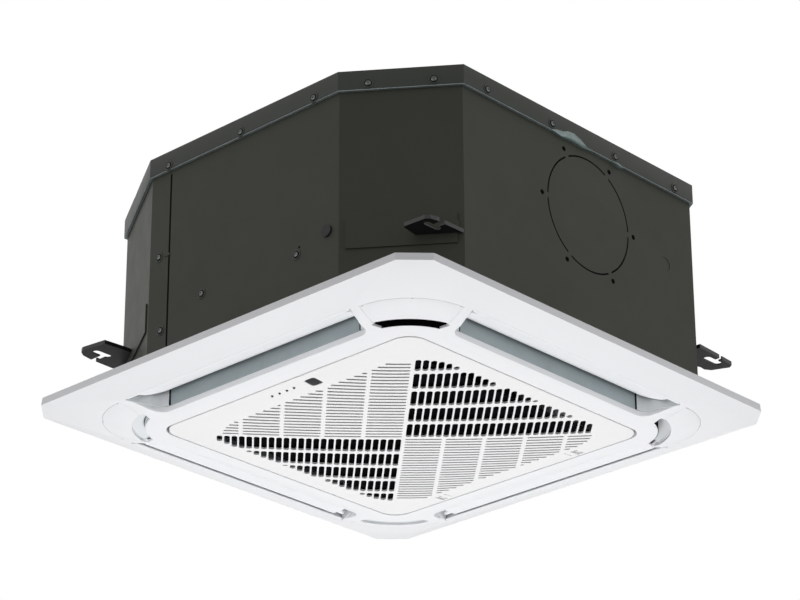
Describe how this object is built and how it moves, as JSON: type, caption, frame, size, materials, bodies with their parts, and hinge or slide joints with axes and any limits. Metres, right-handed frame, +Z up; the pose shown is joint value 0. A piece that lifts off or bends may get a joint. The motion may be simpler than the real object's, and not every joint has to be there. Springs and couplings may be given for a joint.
{
  "type": "ceiling cassette air conditioner",
  "caption": "Square four-way ceiling cassette with hinged intake grille, swinging air vanes, fan, coil, drain pan and slotted hanger brackets.",
  "frame": {"origin": "below the middle of the panel, level with the lowest face of the intake grille", "axes": "+Z up towards the ceiling void; -X is the left side that carries the grille hinge, -Y the front side with the round knock-out"},
  "size_m": [0.65, 0.65, 0.324],
  "materials": {
    "panel_white": "satin",
    "grille_white": "satin",
    "lens_dark": "gloss",
    "duct_foam": "matte",
    "seal_foam": "matte",
    "coated_steel": "satin",
    "hanger_steel": "satin",
    "white_foam": "matte",
    "fin_aluminium": "satin",
    "galvanised_steel": "satin",
    "copper_pipe": "satin",
    "brass_nut": "satin",
    "black_rubber": "matte",
    "circuit_board": "satin",
    "motor_steel": "satin",
    "grey_plastic": "satin",
    "filter_plastic": "matte"
  },
  "bodies": {
    "housing": {"panel_frame": "panel_white", "panel_duct_rear_right": "duct_foam", "panel_duct_rear_left": "duct_foam", "panel_duct_front_left": "duct_foam", "panel_duct_front_right": "duct_foam", "panel_seal": "seal_foam", "hinge_pin_front": "motor_steel", "hinge_pin_rear": "motor_steel", "body_shell": "coated_steel", "lid": "coated_steel", "foam_liner": "white_foam", "drain_plug": "black_rubber", "fan_motor": "motor_steel", "motor_mount_a": "black_rubber", "motor_mount_b": "black_rubber", "motor_mount_c": "black_rubber", "bell_mouth": "grey_plastic", "heat_exchanger": "fin_aluminium", "coil_end_plate_right": "galvanised_steel", "coil_end_plate_rear": "galvanised_steel", "gas_pipe": "copper_pipe", "liquid_pipe": "copper_pipe", "gas_flare_nut": "brass_nut", "liquid_flare_nut": "brass_nut", "pipe_plate": "coated_steel", "drain_pan": "white_foam", "drain_pump": "grey_plastic", "drain_outlet": "panel_white", "control_box": "galvanised_steel", "control_box_cover": "galvanised_steel", "control_board": "circuit_board", "terminal_block": "lens_dark", "vane_motor_left": "motor_steel", "vane_motor_front": "motor_steel", "vane_motor_right": "motor_steel", "vane_motor_rear": "motor_steel", "corner_cover_rear_right": "panel_white", "corner_cover_rear_left": "panel_white", "corner_cover_front_left": "panel_white", "corner_cover_front_right": "panel_white", "hanger_bracket_rear_right": "hanger_steel", "hanger_bracket_rear_left": "hanger_steel", "hanger_bracket_front_left": "hanger_steel", "hanger_bracket_front_right": "hanger_steel"},
    "grille": {"intake_grille": "grille_white", "air_filter": "filter_plastic", "receiver_lens": "lens_dark", "display_board": "circuit_board"},
    "latch_front": {"grille_latch_front": "grille_white"},
    "latch_rear": {"grille_latch_rear": "grille_white"},
    "rotor": {"fan_impeller": "grey_plastic", "fan_nut": "motor_steel", "motor_shaft": "motor_steel"},
    "float": {"pump_float": "panel_white"},
    "vane_left_blade": {"vane_left": "panel_white"},
    "vane_front_blade": {"vane_front": "panel_white"},
    "vane_right_blade": {"vane_right": "panel_white"},
    "vane_rear_blade": {"vane_rear": "panel_white"}
  },
  "joints": [
    {"name": "grille_swing", "type": "hinge", "parent": "housing", "child": "grille", "pos_m": [-0.1955, 0, 0.0112], "axis": [0, 1, 0], "range_deg": [0, 85]},
    {"name": "latch_front_slide", "type": "slide", "parent": "grille", "child": "latch_front", "axis": [-1, 0, 0], "range_m": [0, 0.006]},
    {"name": "latch_rear_slide", "type": "slide", "parent": "grille", "child": "latch_rear", "axis": [-1, 0, 0], "range_m": [0, 0.006]},
    {"name": "vane_left_swing", "type": "hinge", "parent": "housing", "child": "vane_left_blade", "pos_m": [-0.2795, 0, 0.0287], "axis": [0, -1, 0], "range_deg": [-30, 24]},
    {"name": "vane_front_swing", "type": "hinge", "parent": "housing", "child": "vane_front_blade", "pos_m": [0, -0.2795, 0.0287], "axis": [1, 0, 0], "range_deg": [-30, 24]},
    {"name": "vane_right_swing", "type": "hinge", "parent": "housing", "child": "vane_right_blade", "pos_m": [0.2795, 0, 0.0287], "axis": [0, 1, 0], "range_deg": [-30, 24]},
    {"name": "vane_rear_swing", "type": "hinge", "parent": "housing", "child": "vane_rear_blade", "pos_m": [0, 0.2795, 0.0287], "axis": [-1, 0, 0], "range_deg": [-30, 24]},
    {"name": "fan_spin", "type": "hinge", "parent": "housing", "child": "rotor", "pos_m": [0, 0, 0.17], "axis": [0, 0, 1], "continuous": true},
    {"name": "float_rise", "type": "slide", "parent": "housing", "child": "float", "axis": [0, 0, 1], "range_m": [0, 0.008]}
  ]
}
